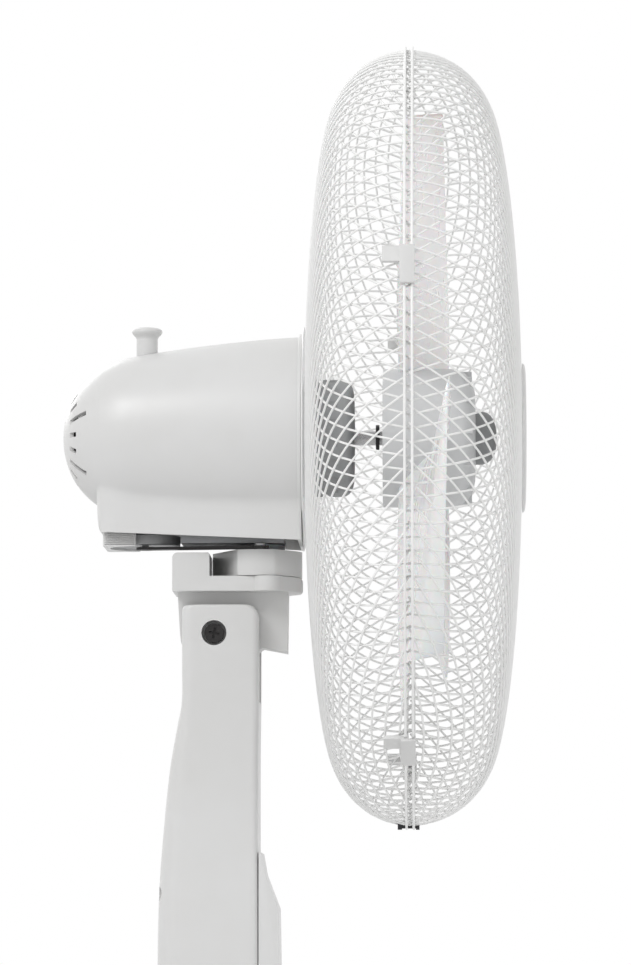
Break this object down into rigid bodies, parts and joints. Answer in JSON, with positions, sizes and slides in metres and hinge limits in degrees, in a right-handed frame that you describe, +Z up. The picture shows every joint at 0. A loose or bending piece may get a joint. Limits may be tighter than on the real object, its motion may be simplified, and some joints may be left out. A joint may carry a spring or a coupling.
{
  "type": "pedestal fan",
  "caption": "Pedestal fan with a diamond-mesh guard, a tilting and oscillating head, push buttons, a height-adjustable pole and a round base.",
  "frame": {"origin": "on the floor under the round base, on the axis of the pole", "axes": "+Z up, +X the way the air blows, +Y to the fan's left"},
  "size_m": [0.45, 0.45, 1.2799],
  "materials": {
    "white_plastic": "semi-gloss moulded plastic",
    "white_wire": "white powder-coated steel wire",
    "grey_plastic": "matt moulded plastic",
    "blade_plastic": "translucent glossy plastic",
    "white_pole": "white powder-coated steel tube",
    "chrome_pole": "polished chrome plate",
    "ballast_steel": "black painted steel",
    "dark_screw": "blackened steel",
    "bright_steel": "turned steel",
    "cast_alloy": "die-cast, unpainted",
    "stator_steel": "laminated, varnished",
    "copper_wire": "enamelled copper wire",
    "bearing_bronze": "oil-filled bronze",
    "nylon": "natural nylon",
    "rubber": "moulded rubber"
  },
  "bodies": {
    "stand": {"base_cover": "white_plastic", "ballast_plate": "ballast_steel", "base_feet": "rubber", "base_bolts": "bright_steel", "pole_socket": "grey_plastic", "lower_pole": "white_pole", "pole_collet": "grey_plastic"},
    "collar": {"height_collar": "white_plastic"},
    "mast": {"upper_pole": "chrome_pole", "neck_housing": "white_plastic", "control_panel": "white_plastic", "panel_screws": "dark_screw", "switch_block": "nylon", "run_capacitor": "grey_plastic", "cord_gland": "rubber", "pivot_bolt": "dark_screw", "pivot_nut": "bright_steel", "friction_washers": "bright_steel"},
    "button_0": {"button_0": "white_plastic"},
    "button_1": {"button_1": "white_plastic"},
    "button_2": {"button_2": "white_plastic"},
    "button_3": {"button_3": "white_plastic"},
    "bracket": {"tilt_bracket": "white_plastic", "turntable": "white_plastic", "swivel_post": "bright_steel", "link_pin": "bright_steel"},
    "head": {"motor_frame": "cast_alloy", "gearbox_case": "cast_alloy", "rear_bracket": "cast_alloy", "front_bracket": "cast_alloy", "stator_core": "stator_steel", "stator_windings": "copper_wire", "motor_bearings": "bearing_bronze", "motor_cover": "white_plastic", "cover_foot": "white_plastic", "front_plate": "white_plastic", "motor_screws": "bright_steel", "rear_guard_plate": "white_wire", "rear_guard_mesh": "white_wire", "rear_guard_rim": "white_wire", "front_guard_rim": "white_wire", "front_guard_mesh": "white_wire", "front_badge": "white_plastic", "guard_clips": "white_plastic", "rim_screw": "dark_screw", "guard_nut": "grey_plastic"},
    "knob": {"oscillation_knob": "white_plastic"},
    "rotor": {"motor_shaft": "bright_steel", "rotor_core": "bright_steel", "worm": "bright_steel", "shaft_pin": "dark_screw", "fan_blade": "blade_plastic", "blade_nut": "grey_plastic"},
    "wheel": {"worm_wheel": "nylon"},
    "crank": {"output_gear": "nylon", "crank_disc": "grey_plastic"},
    "link": {"link_bar": "dark_screw"}
  },
  "joints": [
    {"name": "collar_turn", "type": "hinge", "parent": "stand", "child": "collar", "pos_m": [0, 0, 0.43], "axis": [0, 0, 1], "range_deg": [0, 180]},
    {"name": "height_slide", "type": "slide", "parent": "stand", "child": "mast", "axis": [0, 0, 1], "range_m": [-0.17, 0.02]},
    {"name": "button_0_press", "type": "slide", "parent": "mast", "child": "button_0", "axis": [-1, 0, 0], "range_m": [0, 0.004], "stiffness_N_per_m": 400},
    {"name": "button_1_press", "type": "slide", "parent": "mast", "child": "button_1", "axis": [-1, 0, 0], "range_m": [0, 0.004], "stiffness_N_per_m": 400},
    {"name": "button_2_press", "type": "slide", "parent": "mast", "child": "button_2", "axis": [-1, 0, 0], "range_m": [0, 0.004], "stiffness_N_per_m": 400},
    {"name": "button_3_press", "type": "slide", "parent": "mast", "child": "button_3", "axis": [-1, 0, 0], "range_m": [0, 0.004], "stiffness_N_per_m": 400},
    {"name": "tilt", "type": "hinge", "parent": "mast", "child": "bracket", "pos_m": [-0.003, 0, 0.949], "axis": [0, 1, 0], "range_deg": [-17, 16]},
    {"name": "swing", "type": "hinge", "parent": "bracket", "child": "head", "pos_m": [0.0225, 0, 1], "axis": [0, 0, 1], "range_deg": [-35, 35]},
    {"name": "knob_push", "type": "slide", "parent": "head", "child": "knob", "axis": [0, 0, -1], "range_m": [0, 0.008]},
    {"name": "blade_spin", "type": "hinge", "parent": "head", "child": "rotor", "pos_m": [0, 0, 1.06], "axis": [1, 0, 0], "continuous": true},
    {"name": "wheel_spin", "type": "hinge", "parent": "head", "child": "wheel", "pos_m": [-0.033, 0.0134, 1.06], "axis": [0, 0, 1], "continuous": true},
    {"name": "crank_turn", "type": "hinge", "parent": "head", "child": "crank", "pos_m": [-0.042, 0, 1], "axis": [0, 0, 1], "range_deg": [-90, 90]},
    {"name": "link_swing", "type": "hinge", "parent": "bracket", "child": "link", "pos_m": [0.0225, -0.025, 0.9965], "axis": [0, 0, 1], "range_deg": [-35, 35]}
  ],
  "couplings": [
    {"joint": "wheel_spin", "follows": "blade_spin", "ratio": 0.05},
    {"joint": "crank_turn", "follows": "swing", "ratio": -2.5714},
    {"joint": "link_swing", "follows": "swing", "ratio": 1}
  ]
}
